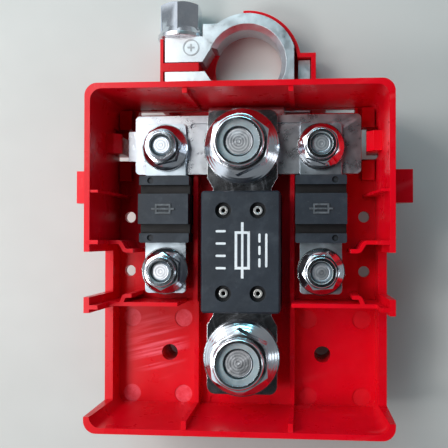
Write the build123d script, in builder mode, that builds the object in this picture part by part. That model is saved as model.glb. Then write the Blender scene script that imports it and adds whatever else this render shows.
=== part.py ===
from build123d import *
import os

# Battery-terminal fuse block: a red open tray with a battery-post clamp at one end, a bus bar,
# one large bolt-down fuse and two small bolt-down fuses, all held by flange lock nuts on studs.
#
# Millimetres. The origin is on the battery post's axis, on the lower face of the clamp ring.
# +X is to the right, +Y points away from the tray, +Z points up out of the open tray.
# Tray features are placed from the centre of the large fuse and from the tray's underside.

# ---------------------------------------------------------------- driving dimensions

# Where the tray stands relative to the clamp ring
FUSE_Y = -48.8            # centre of the large fuse, along Y from the post's axis
UNDERSIDE = 8.3           # tray's underside above the ring's lower face
STANDING = -1.2           # plane of the shroud's base and the tray's feet

# Tray outline
TRAY_WIDTH = 69.9
TRAY_TOP = 38.55          # outer face of the end wall beside the clamp
TRAY_BOTTOM = -41.05      # outer face of the far end wall
CORNER_RADIUS = 2.9
INNER_CORNER_RADIUS = 1.6
WALL_AT_FLOOR = 2.3
WALL_DRAFT = 2.7          # degrees

# Tray heights above its underside
FLOOR = 2.0
RAISED_FLOOR = 3.0
RIB_TOP = 5.3
LOW_WALL = 7.2
INNER_WALL = 15.0
WALL_HEIGHT = 23.3

# Tray ribs and inner walls
RIB = 1.1
THIN_WALL = 0.95
PARTITION_X = 12.0
SIDE_WINDOWS = ((0.1, -10.2), (-13.8, -37.3))
STUB_INNER_X = 31.7
UPPER_STUB_Y = 2.3
LOWER_STUB_Y = -12.5

# Studs
LARGE_FUSE_SPACING = 50.8
SMALL_STUD_X = 18.95
SMALL_FUSE_Y = 10.3
SMALL_FUSE_SPACING = 30.0

# Bus bar and clamp lug
BAR_TOP = 9.2
BAR_THICKNESS = 2.0
BAR_LEFT = -26.7
BAR_RIGHT = 28.6
BAR_LOW_Y = 18.95
BAR_HIGH_Y = 33.4
LUG_THICKNESS = 2.0
LUG_LEFT = -8.8
LUG_RIGHT = 9.9
LUG_BEND_Y = 36.0

# Clamp
RING_RADIUS = 13.0
POST_RADIUS = 9.0
RING_HEIGHT = 8.0
RING_FLAT_X = 12.3
BORE_CHAMFER = 1.3
BOLT_X = -17.9
BOLT_Z = 4.0
BOLT_RADIUS = 3.0
EAR_LEFT = -21.9
UPPER_EAR_TOP = 7.2
SLOT_TOP = 0.55
SLOT_BOTTOM = -2.0
LOWER_EAR_BOTTOM = -8.5

# Fasteners: radii and heights of the lock nuts and studs; a nut's ring is sunk below its rim
M8 = {
    "stud": 4.0, "tip": 0.9, "end": 8.4, "head": 6.2, "head_height": 3.0, "flange": 9.2, "rim": 1.3,
    "flats": 13.0, "hex_base": 2.9, "hex_top": 7.8, "collar": 5.9, "collar_round": 0.6,
    "height": 10.0, "ring": 5.0, "mouth": 4.9, "ring_mouth": 3.5, "sunk": 0.9,
}
M5 = {
    "stud": 2.5, "tip": 0.6, "end": 5.6, "head": 3.8, "head_height": 2.5, "flange": 5.7, "rim": 0.7,
    "flats": 8.0, "hex_base": 1.9, "hex_top": 4.7, "collar": 3.6, "collar_round": 0.3,
    "height": 6.2, "ring": 3.0, "mouth": 2.7, "ring_mouth": 2.1, "sunk": 0.6,
}
THREAD_CLEARANCE = 0.05
RING_CLEARANCE = 0.03
SEAT_CLEARANCE = 0.02

# Fuses
LARGE_TAB_THICKNESS = 1.8
SMALL_TAB_THICKNESS = 1.0
LARGE_BODY = (18.8, 28.9)
SMALL_BODY = (12.2, 16.3)
RIVET_SPACING = (8.2, 19.6)

LARGE_TAB_TOP = BAR_TOP + LARGE_TAB_THICKNESS
SMALL_TAB_TOP = BAR_TOP + SMALL_TAB_THICKNESS
BAR_BOTTOM = BAR_TOP - BAR_THICKNESS
LUG_BOTTOM = BAR_BOTTOM - LUG_THICKNESS
LARGE_STUD_Y = LARGE_FUSE_SPACING / 2
UPPER_SMALL_Y = SMALL_FUSE_Y + SMALL_FUSE_SPACING / 2
LOWER_SMALL_Y = SMALL_FUSE_Y - SMALL_FUSE_SPACING / 2


# ---------------------------------------------------------------- helpers

def level(height):
    """A horizontal plane at a height above the tray's underside, centred on the large fuse."""
    return Plane((0, FUSE_Y, UNDERSIDE + height))


def section(y):
    """An upright plane across the tray at y, facing -Y: its own y runs up from the underside."""
    return Plane(origin=(0, FUSE_Y + y, UNDERSIDE), x_dir=(1, 0, 0), z_dir=(0, -1, 0))


def side_section(x):
    """An upright plane along the tray at x, facing +X: its own x runs along Y."""
    return Plane(origin=(x, FUSE_Y, UNDERSIDE), x_dir=(0, 1, 0), z_dir=(1, 0, 0))


def save(piece, name):
    """Labels a finished piece and writes it as its own file."""
    piece.part.label = name
    export_step(piece.part, f"parts/{name}.step")


def both_sides(x, y):
    """A point and its mirror image across the tray's centreline."""
    return [(-x, y), (x, y)]


os.makedirs("parts", exist_ok=True)

# ---------------------------------------------------------------- tray

TRAY_LENGTH = TRAY_TOP - TRAY_BOTTOM
TRAY_MID_Y = (TRAY_TOP + TRAY_BOTTOM) / 2
SCREW_HOLE = (19.5, -26.0, 2.05)          # x, y, radius
SMALL_HOLES_X = 29.9
SMALL_HOLES_Y = (8.7, -5.1)
SMALL_HOLE_RADIUS = 1.4
FOOT_RADIUS = 4.0
LATCH_Y = (24.0, 28.7)
LATCH_OPENING = (29.3, 33.4, 23.2, 30.9)  # inner x, outer x, low y, high y
LATCH_LEG = (30.6, 34.0, 24.5, 31.4)      # inner x, outer x, low y, high y
PAD_X = (29.3, 32.4)
NECK_SLOT = (27.6, 34.8, 36.1)            # half length, low y, high y
LID_TAB = (40.3, 11.7, 19.5)              # outer x, low y, high y
EJECTOR_RADIUS = 2.3
EJECTOR_DEPTH = 0.25

with BuildPart() as tray:
    # Tub: a rounded block hollowed out with draft on its walls
    with BuildSketch(level(0)):
        with Locations((0, TRAY_MID_Y)):
            RectangleRounded(TRAY_WIDTH, TRAY_LENGTH, CORNER_RADIUS)
    extrude(amount=WALL_HEIGHT)
    with BuildSketch(level(FLOOR)):
        with Locations((0, TRAY_MID_Y)):
            RectangleRounded(
                TRAY_WIDTH - 2 * WALL_AT_FLOOR, TRAY_LENGTH - 2 * WALL_AT_FLOOR, INNER_CORNER_RADIUS
            )
    extrude(amount=WALL_HEIGHT - FLOOR, taper=-WALL_DRAFT, mode=Mode.SUBTRACT)

    # Side windows leave a low wall, with a full-height post between them
    with BuildSketch(level(LOW_WALL)):
        for high, low in SIDE_WINDOWS:
            with Locations(*both_sides(TRAY_WIDTH / 2, (high + low) / 2)):
                Rectangle(7, high - low)
    extrude(amount=WALL_HEIGHT, mode=Mode.SUBTRACT)

    # Raised floor under the fuses
    with BuildSketch(level(1)):
        with Locations((0, 12)):
            Rectangle(56.6, 48)
    extrude(amount=RAISED_FLOOR - 1)

    # Full-height stubs that stiffen the window posts and the ends of the side walls
    with BuildSketch(level(1)):
        for y in (UPPER_STUB_Y, LOWER_STUB_Y):
            with Locations(*both_sides((STUB_INNER_X + 34.2) / 2, y)):
                Rectangle(34.2 - STUB_INNER_X, THIN_WALL)
    extrude(amount=WALL_HEIGHT - 1)

    # Inner walls with S-bends that narrow the cable way to each lower small stud
    with BuildSketch(level(1)):
        with BuildLine():
            FilletPolyline((33.8, 2.3), (29.0, 2.3), (27.8, 0.25), (25.8, 0.25), radius=0.9)
        trace(line_width=THIN_WALL)
        with BuildLine():
            FilletPolyline((28.7, -12.5), (27.9, -10.5), (26.1, -10.5), radius=0.7)
        trace(line_width=THIN_WALL)
        with BuildLine():
            Line((33.8, LOWER_STUB_Y), (15.0, LOWER_STUB_Y))
        trace(line_width=THIN_WALL)
        mirror(about=Plane.YZ)
        with BuildLine():
            Line((16, LOWER_STUB_Y), (PARTITION_X, LOWER_STUB_Y))
        trace(line_width=THIN_WALL)
    extrude(amount=INNER_WALL - 1)

    # Ribs: partitions beside the large fuse, and lower ribs on to the far end wall
    with BuildSketch(level(1)):
        with Locations(*both_sides(PARTITION_X, (32.5 + LOWER_STUB_Y) / 2)):
            Rectangle(RIB, 32.5 - LOWER_STUB_Y)
    extrude(amount=BAR_BOTTOM - 1)
    with BuildSketch(level(1)):
        with Locations(*both_sides(PARTITION_X, (LOWER_STUB_Y - 39.5) / 2)):
            Rectangle(RIB, 39.5 + LOWER_STUB_Y)
    extrude(amount=RIB_TOP - 1)
    with BuildSketch(level(1)):
        with Locations(*both_sides(PARTITION_X, -38.9)):
            Rectangle(RIB, 2.1)
        with Locations(*both_sides(PARTITION_X, 36.9)):
            Rectangle(RIB, 1.8)
    extrude(amount=WALL_HEIGHT - 1.4)

    # Thin gussets on the side walls, deeper at the floor
    with BuildSketch(section(14.2)):
        with BuildLine():
            Polyline(
                (33.9, 1), (29.7, 1), (29.7, RAISED_FLOOR), (31.8, WALL_HEIGHT - 0.2),
                (33.9, WALL_HEIGHT - 0.2), close=True,
            )
        make_face()
        mirror(about=Plane.YZ)
    extrude(amount=0.6)

    # Latches: a nosed ledge on each side wall above an opening in the floor
    with BuildSketch(section(LATCH_Y[1])):
        with BuildLine():
            Polyline(
                (34.0, 8.9), (31.0, 8.9), (29.75, 10.2), (29.75, 11.2), (31.2, 13.0), (34.0, 13.0),
                close=True,
            )
        make_face()
        mirror(about=Plane.YZ)
    extrude(amount=LATCH_Y[1] - LATCH_Y[0])

    # The latch opening, with the latch's leg left standing in it
    inner_x, outer_x, low_y, high_y = LATCH_OPENING
    with BuildSketch(level(0)):
        with Locations(*both_sides((inner_x + outer_x) / 2, (low_y + high_y) / 2)):
            Rectangle(outer_x - inner_x, high_y - low_y)
    extrude(amount=LOW_WALL, mode=Mode.SUBTRACT)
    inner_x, outer_x, low_y, high_y = LATCH_LEG
    with BuildSketch(level(0)):
        with Locations(*both_sides((inner_x + outer_x) / 2, (low_y + high_y) / 2)):
            Rectangle(outer_x - inner_x, high_y - low_y)
    extrude(amount=FLOOR)
    with BuildSketch(level(0)):
        with Locations(*both_sides((inner_x + outer_x) / 2, sum(LATCH_Y) / 2 + 0.2)):
            Rectangle(outer_x - inner_x, LATCH_Y[1] - LATCH_Y[0] - 0.4)
    extrude(amount=9.4)

    # Pads on the floor at both ends of each latch opening
    with BuildSketch(level(1)):
        for low_y, high_y in ((17.9, 22.7), (31.1, 36.0)):
            with Locations(*both_sides(sum(PAD_X) / 2, (low_y + high_y) / 2)):
                Rectangle(PAD_X[1] - PAD_X[0], high_y - low_y)
    extrude(amount=2.6)

    # Pedestals under the studs
    with BuildSketch(level(1)):
        with Locations(*both_sides(SMALL_STUD_X, UPPER_SMALL_Y)):
            RectangleRounded(9.6, 10.4, 1)
    extrude(amount=BAR_BOTTOM - 1)
    with BuildSketch(level(1)):
        with Locations(*both_sides(SMALL_STUD_X, LOWER_SMALL_Y)):
            RectangleRounded(9.8, 10.0, 1)
        with Locations((0, -LARGE_STUD_Y)):
            RectangleRounded(15.6, 16.0, 1.5)
    extrude(amount=BAR_TOP - 1)
    with BuildSketch(level(1)):
        with Locations((0, 25.6)):
            RectangleRounded(18, 14, 1)
    extrude(amount=LUG_BOTTOM - 1)

    # Pockets for the stud heads
    with BuildSketch(level(BAR_BOTTOM - M5["head_height"])):
        with Locations(*both_sides(SMALL_STUD_X, UPPER_SMALL_Y)):
            Circle(M5["head"] + 0.1)
    extrude(amount=M5["head_height"], mode=Mode.SUBTRACT)
    with BuildSketch(level(BAR_TOP - M5["head_height"])):
        with Locations(*both_sides(SMALL_STUD_X, LOWER_SMALL_Y)):
            Circle(M5["head"])
    extrude(amount=M5["head_height"], mode=Mode.SUBTRACT)
    with BuildSketch(level(BAR_TOP - M8["head_height"])):
        with Locations((0, -LARGE_STUD_Y)):
            Circle(M8["head"])
    extrude(amount=M8["head_height"], mode=Mode.SUBTRACT)
    with BuildSketch(level(LUG_BOTTOM - M8["head_height"])):
        with Locations((0, LARGE_STUD_Y)):
            Circle(M8["head"] + 0.1)
    extrude(amount=M8["head_height"], mode=Mode.SUBTRACT)

    # Slot through the floor for the clamp's lug, beside the end wall
    half_length, low_y, high_y = NECK_SLOT
    with BuildSketch(level(-1)):
        with Locations((0, (low_y + high_y) / 2)):
            Rectangle(2 * half_length, high_y - low_y)
        with Locations(((LUG_LEFT + LUG_RIGHT) / 2, LUG_BEND_Y - 1.2)):
            Rectangle(LUG_RIGHT - LUG_LEFT + 0.6, LUG_THICKNESS + 0.8)
    extrude(amount=RAISED_FLOOR + 2, mode=Mode.SUBTRACT)

    # Feet round the screw holes, down to the standing plane
    hole_x, hole_y, hole_radius = SCREW_HOLE
    with BuildSketch(Plane((0, FUSE_Y, STANDING))):
        with Locations(*both_sides(hole_x, hole_y)):
            Circle(FOOT_RADIUS)
    extrude(amount=UNDERSIDE - STANDING + 1)
    with BuildSketch(Plane((0, FUSE_Y, STANDING))):
        with Locations(*both_sides(hole_x, hole_y)):
            Circle(hole_radius)
    extrude(amount=UNDERSIDE - STANDING + FLOOR + 1, mode=Mode.SUBTRACT)
    with BuildSketch(level(-1)):
        for y in SMALL_HOLES_Y:
            with Locations(*both_sides(SMALL_HOLES_X, y)):
                Circle(SMALL_HOLE_RADIUS)
    extrude(amount=FLOOR + 2, mode=Mode.SUBTRACT)

    # Shallow ejector-pin marks in the floor of the far half
    with BuildSketch(level(FLOOR - EJECTOR_DEPTH)):
        for x, y in ((29.3, -17.2), (15.9, -17.2), (29.3, -36.6), (15.9, -36.6), (7.6, -38.0)):
            with Locations(*both_sides(x, y)):
                Circle(EJECTOR_RADIUS if x > 10 else 0.6 * EJECTOR_RADIUS)
    extrude(amount=EJECTOR_DEPTH + 0.5, mode=Mode.SUBTRACT)

    # Catches for the lid on the outer sides
    outer_x, low_y, high_y = LID_TAB
    with BuildSketch(section(high_y)):
        with BuildLine():
            Polyline(
                (34.5, 13.0), (outer_x, 13.0), (outer_x, 11.4), (36.4, 7.0), (34.5, 7.0), close=True
            )
        make_face()
        mirror(about=Plane.YZ)
    extrude(amount=high_y - low_y)
save(tray, "tray")

# ---------------------------------------------------------------- terminal shroud

RIM_INNER = 13.2
RIM_OUTER = 14.1
RIM_TOP = 6.6
SHROUD_LEFT = -22.8
SHROUD_RIGHT = 17.9
SHROUD_BACK = -12.3
FIN_TOP = 7.9
SHROUD_POSTS = ((-20.6, -11.4), (18.7, -11.4))
SHROUD_POST = (3.6, 1.8)

with BuildPart() as terminal_shroud:
    # Base under the ring and both ears
    with BuildSketch(Plane.XY.offset(STANDING)):
        Circle(RIM_OUTER)
        with Locations(((SHROUD_LEFT + SHROUD_RIGHT) / 2, (SHROUD_BACK - 1) / 2)):
            Rectangle(SHROUD_RIGHT - SHROUD_LEFT, -1 - SHROUD_BACK)
        with Locations((0, SHROUD_BACK - 5)):
            Rectangle(60, 10, mode=Mode.SUBTRACT)
        with Locations((-15.8, 2.75)):
            Rectangle(14, 7.9)
        with Locations((15, 0.5)):
            Rectangle(5.8, 3.4)
        with Locations(*SHROUD_POSTS):
            Rectangle(*SHROUD_POST)
    extrude(amount=-STANDING)

    # Rim round the right half of the ring and its finger
    with BuildSketch(Plane.XY):
        Circle(RIM_OUTER)
        Circle(RIM_INNER, mode=Mode.SUBTRACT)
        with Locations((-20, 0)):
            Rectangle(38, 40, mode=Mode.SUBTRACT)
        with Locations((5, -15)):
            Rectangle(30, 14, mode=Mode.SUBTRACT)
        with Locations((15.4, -3.9)):
            Rectangle(5.0, 13.2)
        with Locations((14.2, -5.4)):
            Rectangle(4.9, 14.0, mode=Mode.SUBTRACT)
        Circle(RIM_INNER, mode=Mode.SUBTRACT)
    extrude(amount=RIM_TOP)

    # Wall outside the ears, and the fin between them
    with BuildSketch(Plane.XY):
        with Locations(((SHROUD_LEFT + EAR_LEFT - 0.1) / 2, -1.6)):
            Rectangle(EAR_LEFT - 0.1 - SHROUD_LEFT, 16.6)
        with Locations(((EAR_LEFT - 0.1 - 12.6) / 2, (SLOT_TOP + SLOT_BOTTOM) / 2)):
            Rectangle(-12.6 - EAR_LEFT + 0.1, SLOT_TOP - SLOT_BOTTOM - 0.3)
    extrude(amount=FIN_TOP)

    # Two posts up to the tray's underside
    with BuildSketch(Plane.XY.offset(-0.5)):
        with Locations(*SHROUD_POSTS):
            Rectangle(*SHROUD_POST)
    extrude(amount=UNDERSIDE + 0.5)

    # Post hole, and a hole through the fin for the bolt
    with BuildSketch(Plane.XY.offset(STANDING)):
        Circle(POST_RADIUS + 0.3)
    extrude(amount=-STANDING + 0.1, mode=Mode.SUBTRACT)
    with BuildSketch(Plane(origin=(BOLT_X, 3, BOLT_Z), x_dir=(1, 0, 0), z_dir=(0, -1, 0))):
        Circle(3.3)
    extrude(amount=20, mode=Mode.SUBTRACT)
save(terminal_shroud, "terminal_shroud")

# ---------------------------------------------------------------- battery clamp

LUG_WIDTH = LUG_RIGHT - LUG_LEFT
LUG_MID_X = (LUG_LEFT + LUG_RIGHT) / 2
LUG_OUTER_Y = FUSE_Y + LUG_BEND_Y
LUG_INNER_Y = LUG_OUTER_Y - LUG_THICKNESS
LUG_END_Y = FUSE_Y + BAR_LOW_Y

with BuildPart() as battery_clamp:
    # Ring, shoulder and the two ears
    with BuildSketch(Plane.XY):
        Circle(RING_RADIUS)
        with Locations((-8.2, 5.5)):
            Rectangle(6.6, 9.8)
        with Locations((-15.25, UPPER_EAR_TOP / 2)):
            Rectangle(12.5, UPPER_EAR_TOP)
        with Locations((-15.25, LOWER_EAR_BOTTOM / 2)):
            Rectangle(12.5, -LOWER_EAR_BOTTOM)
    extrude(amount=RING_HEIGHT)

    # The ring is flat on its right, with a finger standing clear of it
    with BuildSketch(Plane.XY):
        with Locations((RING_FLAT_X + 2, 0)):
            Rectangle(4, 2 * RING_RADIUS)
    extrude(amount=RING_HEIGHT, mode=Mode.SUBTRACT)
    with BuildSketch(Plane.XY):
        with BuildLine():
            Polyline(
                (8, -12.3), (16.4, -12.3), (16.4, 1.3), (13.3, 1.3), (13.3, -10.4), (8, -10.4),
                close=True,
            )
        make_face()
    extrude(amount=4.8)

    # Foot under the tray and the plate that stands on it
    with BuildSketch(Plane.XY.offset(0.8)):
        with Locations((LUG_MID_X, LUG_OUTER_Y + 1.0)):
            Rectangle(LUG_WIDTH, 3.4)
    extrude(amount=RING_HEIGHT - 1.2)
    with BuildSketch(Plane.XY.offset(0.8)):
        with Locations((LUG_MID_X, (LUG_OUTER_Y + LUG_INNER_Y) / 2)):
            Rectangle(LUG_WIDTH, LUG_THICKNESS)
    extrude(amount=UNDERSIDE + BAR_BOTTOM - 0.8)
    bend_edge = battery_clamp.edges().filter_by(Axis.X).group_by(Axis.Z)[-1].sort_by(Axis.Y)[-1]
    fillet(bend_edge, radius=1.2)

    # Lug under the bus bar
    with BuildSketch(level(LUG_BOTTOM)):
        with Locations((LUG_MID_X, (LUG_INNER_Y + LUG_END_Y) / 2 - FUSE_Y)):
            Rectangle(LUG_WIDTH, LUG_INNER_Y - LUG_END_Y)
        with Locations((0, LARGE_STUD_Y)):
            Circle(M8["stud"], mode=Mode.SUBTRACT)
    extrude(amount=LUG_THICKNESS)

    # Post bore with a wide chamfer at the top, and the slot that lets the ring close
    with BuildSketch(Plane.XY):
        Circle(POST_RADIUS)
        with BuildLine():
            Polyline(
                (-24, SLOT_TOP), (-11.6, SLOT_TOP), (-9.3, 4.2), (-6, 4.2), (-6, -4.3),
                (-9.4, -4.3), (-11.0, SLOT_BOTTOM), (-24, SLOT_BOTTOM), close=True,
            )
        make_face()
    extrude(amount=RING_HEIGHT, mode=Mode.SUBTRACT)
    with Locations((0, 0, RING_HEIGHT - BORE_CHAMFER)):
        Cone(
            POST_RADIUS, POST_RADIUS + BORE_CHAMFER, BORE_CHAMFER,
            align=(Align.CENTER, Align.CENTER, Align.MIN), mode=Mode.SUBTRACT,
        )

    # Bolt hole: clearance through the upper ear, tapped through the lower one
    with BuildSketch(Plane(origin=(BOLT_X, 10, BOLT_Z), x_dir=(1, 0, 0), z_dir=(0, -1, 0))):
        Circle(BOLT_RADIUS + 0.2)
    extrude(amount=10 - SLOT_BOTTOM, mode=Mode.SUBTRACT)
    with BuildSketch(Plane(origin=(BOLT_X, 10, BOLT_Z), x_dir=(1, 0, 0), z_dir=(0, -1, 0))):
        Circle(BOLT_RADIUS + THREAD_CLEARANCE)
    extrude(amount=22, mode=Mode.SUBTRACT)
save(battery_clamp, "battery_clamp")

# ---------------------------------------------------------------- clamp bolt and washer

WASHER_THICKNESS = 1.1
FLANGE_THICKNESS = 1.5
HEAD_TOP = 16.4
HEAD_FLATS = 10.0
BOLT_TIP = -9.8


def across(y):
    """An upright plane across the bolt's axis at y, facing +Y."""
    return Plane(origin=(BOLT_X, y, BOLT_Z), x_dir=(1, 0, 0), z_dir=(0, 1, 0))


with BuildPart() as clamp_washer:
    with BuildSketch(across(UPPER_EAR_TOP)):
        Circle(6.2)
        Circle(BOLT_RADIUS + THREAD_CLEARANCE, mode=Mode.SUBTRACT)
    extrude(amount=WASHER_THICKNESS)
save(clamp_washer, "clamp_washer")

FLANGE_Y = UPPER_EAR_TOP + WASHER_THICKNESS
with BuildPart() as clamp_bolt:
    with BuildSketch(across(BOLT_TIP)):
        Circle(BOLT_RADIUS)
    extrude(amount=FLANGE_Y - BOLT_TIP + 1)
    with BuildSketch(across(FLANGE_Y)):
        Circle(6.0)
    extrude(amount=FLANGE_THICKNESS, taper=25)
    with BuildSketch(across(FLANGE_Y + 0.5)):
        RegularPolygon(HEAD_FLATS / 2, 6, major_radius=False, rotation=30)
    extrude(amount=HEAD_TOP - FLANGE_Y - 0.5)

    # Round off the head's outer corners
    with BuildSketch(Plane.XY.offset(BOLT_Z)):
        with BuildLine():
            Polyline(
                (BOLT_X + 4.7, HEAD_TOP), (BOLT_X + 6.2, HEAD_TOP - 0.75), (BOLT_X + 6.2, HEAD_TOP + 0.5),
                (BOLT_X + 4.7, HEAD_TOP + 0.5), close=True,
            )
        make_face()
    revolve(axis=Axis((BOLT_X, 0, BOLT_Z), (0, 1, 0)), mode=Mode.SUBTRACT)
    chamfer(clamp_bolt.faces().sort_by(Axis.Y)[0].edges(), length=0.6)
save(clamp_bolt, "clamp_bolt")

# ---------------------------------------------------------------- bus bar

BAR_CORNER = 1.0
BAR_TAB = (-28.6, 22.3, 29.7, 0.5)         # end x, low y, high y, step down
GROOVE = (-13.0, 14.9, 30.7, 1.6, 0.5)     # left x, right x, y, width, depth

with BuildPart() as bus_bar:
    with BuildSketch(level(BAR_BOTTOM)):
        with Locations(((BAR_LEFT + BAR_RIGHT) / 2, (BAR_LOW_Y + BAR_HIGH_Y) / 2)):
            RectangleRounded(BAR_RIGHT - BAR_LEFT, BAR_HIGH_Y - BAR_LOW_Y, BAR_CORNER)
    extrude(amount=BAR_THICKNESS)

    # Short end tab, a little lower than the bar's face
    end_x, low_y, high_y, step = BAR_TAB
    with BuildSketch(level(BAR_BOTTOM)):
        with Locations(((end_x + BAR_LEFT + 1) / 2, (low_y + high_y) / 2)):
            Rectangle(BAR_LEFT + 1 - end_x, high_y - low_y)
    extrude(amount=BAR_THICKNESS - step)

    # Stiffening groove along the upper edge
    left_x, right_x, groove_y, width, depth = GROOVE
    with BuildSketch(level(BAR_TOP - depth)):
        with Locations(((left_x + right_x) / 2, groove_y)):
            SlotOverall(right_x - left_x, width)
    extrude(amount=depth, mode=Mode.SUBTRACT)

    # Stud holes
    with BuildSketch(level(BAR_BOTTOM)):
        with Locations((0, LARGE_STUD_Y)):
            Circle(M8["stud"])
        with Locations(*both_sides(SMALL_STUD_X, UPPER_SMALL_Y)):
            Circle(M5["stud"])
    extrude(amount=BAR_THICKNESS, mode=Mode.SUBTRACT)
save(bus_bar, "bus_bar")

# ---------------------------------------------------------------- studs


def stud(size, x, y, head_top, seat):
    """A headed stud: its head's top is at head_top and it ends inside a nut on seat."""
    with BuildPart() as piece:
        with BuildSketch(level(head_top - size["head_height"])):
            with Locations((x, y)):
                Circle(size["head"])
        extrude(amount=size["head_height"])
        with BuildSketch(level(head_top)):
            with Locations((x, y)):
                Circle(size["stud"])
        extrude(amount=seat + size["end"] - head_top)
        chamfer(piece.faces().sort_by(Axis.Z)[-1].edges(), length=size["tip"])
    return piece


LARGE_STUDS = {
    "upper_m8_stud": (LARGE_STUD_Y, LUG_BOTTOM),
    "lower_m8_stud": (-LARGE_STUD_Y, BAR_TOP),
}
SMALL_STUDS = {
    "upper_left_m5_stud": (-SMALL_STUD_X, UPPER_SMALL_Y, BAR_BOTTOM),
    "upper_right_m5_stud": (SMALL_STUD_X, UPPER_SMALL_Y, BAR_BOTTOM),
    "lower_left_m5_stud": (-SMALL_STUD_X, LOWER_SMALL_Y, BAR_TOP),
    "lower_right_m5_stud": (SMALL_STUD_X, LOWER_SMALL_Y, BAR_TOP),
}
for name, (y, head_top) in LARGE_STUDS.items():
    save(stud(M8, 0, y, head_top, LARGE_TAB_TOP), name)
for name, (x, y, head_top) in SMALL_STUDS.items():
    save(stud(M5, x, y, head_top, SMALL_TAB_TOP), name)

# ---------------------------------------------------------------- lock nuts

RING_SEAT = 0.25          # the nylon ring's share of the nut's height
RING_END_GAP = 0.1        # from the stud's end up to the narrow mouth of the nylon ring


def lock_nut(size, x, y, seat, turn):
    """A hexagon flange nut with a round collar, hollow for its nylon ring, tightened to an angle."""
    base = seat + SEAT_CLEARANCE
    slope = size["flange"] - size["flats"] / 2
    with BuildPart() as piece:
        # Flange: a flat rim, then a cone up to the hexagon
        with BuildSketch(level(base)):
            with Locations((x, y)):
                Circle(size["flange"])
        extrude(amount=size["rim"])
        with Locations((x, FUSE_Y + y, UNDERSIDE + base + size["rim"])):
            Cone(
                size["flange"] - 0.2, size["flange"] - slope, size["hex_base"] - size["rim"],
                align=(Align.CENTER, Align.CENTER, Align.MIN),
            )
        chamfer(piece.faces().sort_by(Axis.Z)[0].edges(), length=0.15)

        # Hexagon with its top corners turned off, and the collar above it
        with BuildSketch(level(base + size["rim"])):
            with Locations((x, y)):
                RegularPolygon(size["flats"] / 2, 6, major_radius=False, rotation=turn)
        extrude(amount=size["hex_top"] - size["rim"])
        corner = size["flats"] / 3**0.5
        with BuildSketch(side_section(x)):
            with BuildLine():
                Polyline(
                    (y + size["flats"] / 2 - 0.2, base + size["hex_top"] + 0.1),
                    (y + corner + 0.4, base + size["hex_top"] - 0.55 * (corner + 0.4 - size["flats"] / 2)),
                    (y + corner + 0.4, base + size["hex_top"] + 0.1),
                    close=True,
                )
            make_face()
        revolve(axis=Axis((x, FUSE_Y + y, 0), (0, 0, 1)), mode=Mode.SUBTRACT)
        with BuildSketch(level(base + size["hex_top"])):
            with Locations((x, y)):
                Circle(size["collar"])
        extrude(amount=size["height"] - size["hex_top"])
        fillet(piece.faces().sort_by(Axis.Z)[-1].edges(), radius=size["collar_round"])

        # Threaded hole, and the pocket that holds the nylon ring
        with BuildSketch(level(base)):
            with Locations((x, y)):
                Circle(size["stud"] + THREAD_CLEARANCE)
        extrude(amount=size["height"], mode=Mode.SUBTRACT)
        with BuildSketch(level(base + (1 - RING_SEAT) * size["height"])):
            with Locations((x, y)):
                Circle(size["ring"] + RING_CLEARANCE)
        extrude(amount=RING_SEAT * size["height"] - size["sunk"] + RING_CLEARANCE, mode=Mode.SUBTRACT)
        with BuildSketch(level(base + size["height"] - size["sunk"])):
            with Locations((x, y)):
                Circle(size["mouth"])
        extrude(amount=size["sunk"], mode=Mode.SUBTRACT)
    return piece


def nylon_ring(size, x, y, seat):
    """The plastic locking ring in the collar of a lock nut, narrower past the stud's end."""
    with BuildPart() as piece:
        bottom = seat + SEAT_CLEARANCE + (1 - RING_SEAT) * size["height"] + SEAT_CLEARANCE
        top = bottom + RING_SEAT * size["height"] - size["sunk"] - SEAT_CLEARANCE
        with BuildSketch(level(bottom)):
            with Locations((x, y)):
                Circle(size["ring"])
        extrude(amount=top - bottom)
        with BuildSketch(level(bottom)):
            with Locations((x, y)):
                Circle(size["ring_mouth"])
        extrude(amount=top - bottom, mode=Mode.SUBTRACT)
        with BuildSketch(level(bottom)):
            with Locations((x, y)):
                Circle(size["stud"] + THREAD_CLEARANCE)
        extrude(amount=seat + size["end"] + RING_END_GAP - bottom, mode=Mode.SUBTRACT)
    return piece


LARGE_NUTS = {
    "upper_m8": (0, LARGE_STUD_Y, 24),
    "lower_m8": (0, -LARGE_STUD_Y, 33),
}
SMALL_NUTS = {
    "upper_left_m5": (-SMALL_STUD_X, UPPER_SMALL_Y, 12),
    "upper_right_m5": (SMALL_STUD_X, UPPER_SMALL_Y, 41),
    "lower_left_m5": (-SMALL_STUD_X, LOWER_SMALL_Y, 27),
    "lower_right_m5": (SMALL_STUD_X, LOWER_SMALL_Y, 5),
}
for name, (x, y, turn) in LARGE_NUTS.items():
    save(lock_nut(M8, x, y, LARGE_TAB_TOP, turn), f"{name}_nut")
    save(nylon_ring(M8, x, y, LARGE_TAB_TOP), f"{name}_nylon_ring")
for name, (x, y, turn) in SMALL_NUTS.items():
    save(lock_nut(M5, x, y, SMALL_TAB_TOP, turn), f"{name}_nut")
    save(nylon_ring(M5, x, y, SMALL_TAB_TOP), f"{name}_nylon_ring")

# ---------------------------------------------------------------- large fuse

LARGE_TAB_WIDTH = 17.0
LARGE_NECK_WIDTH = 14.2
LARGE_TAB_END = 34.4
LARGE_CASE_TOP = 15.3
LARGE_CASE_BOTTOM = 4.2
LARGE_LINK_WIDTH = 5.0
RIVET_RECESS = 1.9
RIVET_HEAD = 1.1
RIVET_BORE = 0.5
RIVET_SHANK = 0.8
RIVET_RECESS_DEPTH = 1.3

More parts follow.
